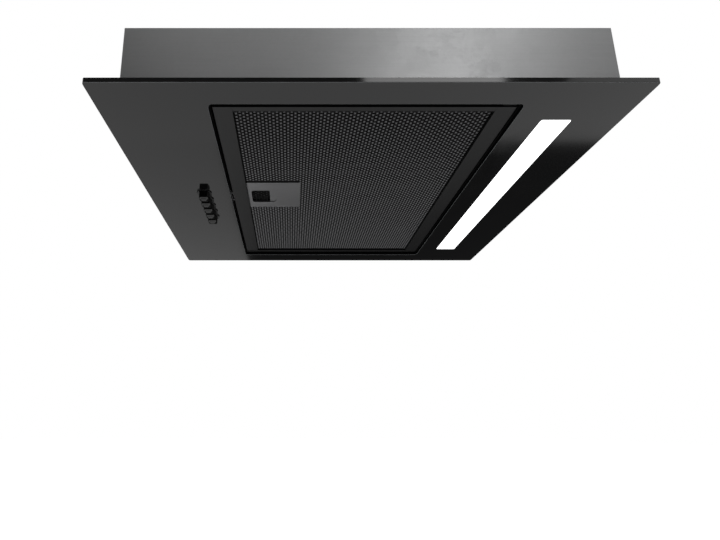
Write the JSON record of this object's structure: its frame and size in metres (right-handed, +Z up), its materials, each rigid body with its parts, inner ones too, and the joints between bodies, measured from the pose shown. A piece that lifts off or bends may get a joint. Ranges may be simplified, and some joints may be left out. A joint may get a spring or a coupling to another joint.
{
  "type": "under cabinet range hood",
  "caption": "Built-in cooker hood: black glass panel with a light strip, push buttons and a hinged mesh filter under a galvanised casing with its blower and round duct outlet.",
  "frame": {"origin": "middle of the panel's upper face, at the height where it meets the underside of the cabinet", "axes": "+X along the panel towards the light strip, +Y from the front edge towards the wall, +Z up into the cabinet"},
  "size_m": [0.6, 0.3, 0.2078],
  "materials": {
    "black_glass": "polished black back-painted glass",
    "black_paint": "satin black paint",
    "galvanised": "galvanised with fine spangle",
    "bright_steel": "zinc-plated",
    "spring_steel": "plain spring steel",
    "black_plastic": "fine moulded texture",
    "gloss_black": "glossy",
    "grey_plastic": "moulded",
    "white_plastic": "moulded",
    "opal": "opal diffuser",
    "white_paint": "white reflector paint",
    "circuit_board": "white solder mask",
    "motor_steel": "grey",
    "bronze": "sintered",
    "rubber": "matt",
    "aluminium": "can",
    "filter_frame": "satin black",
    "filter_mesh": "black-coated aluminium",
    "core_mesh": "expanded foil",
    "latch_grey": "satin dark grey",
    "wire_sheath": "soft"
  },
  "bodies": {
    "hood": {"glass_panel": "black_glass", "panel_carrier": "black_paint", "casing_wrap": "galvanised", "end_plate_left": "galvanised", "end_plate_right": "galvanised", "upper_housing": "galvanised", "casing_screws": "bright_steel", "housing_screws": "bright_steel", "retaining_clip_left": "spring_steel", "retaining_clip_right": "spring_steel", "clip_screws": "bright_steel", "outlet_spigot": "black_plastic", "spigot_screws": "bright_steel", "flap_pin": "bright_steel", "scroll_left": "galvanised", "scroll_right": "galvanised", "inlet_rings": "black_plastic", "motor": "motor_steel", "motor_bearings": "bronze", "motor_bracket": "galvanised", "motor_bushes": "rubber", "capacitor": "aluminium", "capacitor_clip": "black_plastic", "terminal_box": "black_plastic", "terminal_box_lid": "black_plastic", "terminal_block": "white_plastic", "cable_gland": "black_plastic", "gland_nut": "black_plastic", "switch_bank": "black_plastic", "button_bezel": "gloss_black", "button_springs": "spring_steel", "led_diffuser": "opal", "led_board": "circuit_board", "led_tray": "white_paint", "led_driver": "white_plastic", "loom_switch": "wire_sheath", "loom_led": "wire_sheath", "loom_motor": "wire_sheath", "latch_keeper": "spring_steel", "pivot_saddles": "black_paint"},
    "wheel": {"impeller": "black_plastic", "motor_shaft": "bright_steel"},
    "flap_front": {"check_flap_front": "grey_plastic"},
    "flap_back": {"check_flap_back": "grey_plastic"},
    "button_1": {"push_button_1": "gloss_black"},
    "button_2": {"push_button_2": "gloss_black"},
    "button_3": {"push_button_3": "gloss_black"},
    "button_4": {"push_button_4": "gloss_black"},
    "button_5": {"push_button_5": "gloss_black"},
    "filter": {"filter_cap_left": "filter_frame", "filter_cap_right": "filter_frame", "filter_rails": "filter_frame", "filter_corner_keys": "black_plastic", "filter_mesh_outer": "filter_mesh", "filter_mesh_core": "core_mesh", "filter_mesh_inner": "filter_mesh", "latch_plate": "latch_grey", "latch_housing": "black_plastic", "latch_spring": "spring_steel"},
    "latch": {"latch_slider": "latch_grey"}
  },
  "joints": [
    {"name": "filter_swing", "type": "hinge", "parent": "hood", "child": "filter", "pos_m": [0.165, 0, 0.0053], "axis": [0, -1, 0], "range_deg": [0, 75]},
    {"name": "latch_slide", "type": "slide", "parent": "filter", "child": "latch", "axis": [1, 0, 0], "range_m": [0, 0.005], "stiffness_N_per_m": 250, "springref_m": -0.002, "deforming": ["latch_spring"]},
    {"name": "wheel_spin", "type": "hinge", "parent": "hood", "child": "wheel", "pos_m": [0, 0.02226, 0.0945], "axis": [1, 0, 0], "continuous": true},
    {"name": "flap_front_lift", "type": "hinge", "parent": "hood", "child": "flap_front", "pos_m": [0, 0, 0.1653], "axis": [-1, 0, 0], "range_deg": [0, 75]},
    {"name": "flap_back_lift", "type": "hinge", "parent": "hood", "child": "flap_back", "pos_m": [0, 0, 0.1653], "axis": [1, 0, 0], "range_deg": [0, 75]},
    {"name": "button_1_press", "type": "slide", "parent": "hood", "child": "button_1", "axis": [0, 0, 1], "range_m": [0, 0.004], "stiffness_N_per_m": 350, "springref_m": -0.002, "deforming": ["button_springs"]},
    {"name": "button_2_press", "type": "slide", "parent": "hood", "child": "button_2", "axis": [0, 0, 1], "range_m": [0, 0.004], "stiffness_N_per_m": 350, "springref_m": -0.002, "deforming": ["button_springs"]},
    {"name": "button_3_press", "type": "slide", "parent": "hood", "child": "button_3", "axis": [0, 0, 1], "range_m": [0, 0.004], "stiffness_N_per_m": 350, "springref_m": -0.002, "deforming": ["button_springs"]},
    {"name": "button_4_press", "type": "slide", "parent": "hood", "child": "button_4", "axis": [0, 0, 1], "range_m": [0, 0.004], "stiffness_N_per_m": 350, "springref_m": -0.002, "deforming": ["button_springs"]},
    {"name": "button_5_press", "type": "slide", "parent": "hood", "child": "button_5", "axis": [0, 0, 1], "range_m": [0, 0.004], "stiffness_N_per_m": 350, "springref_m": -0.002, "deforming": ["button_springs"]}
  ]
}
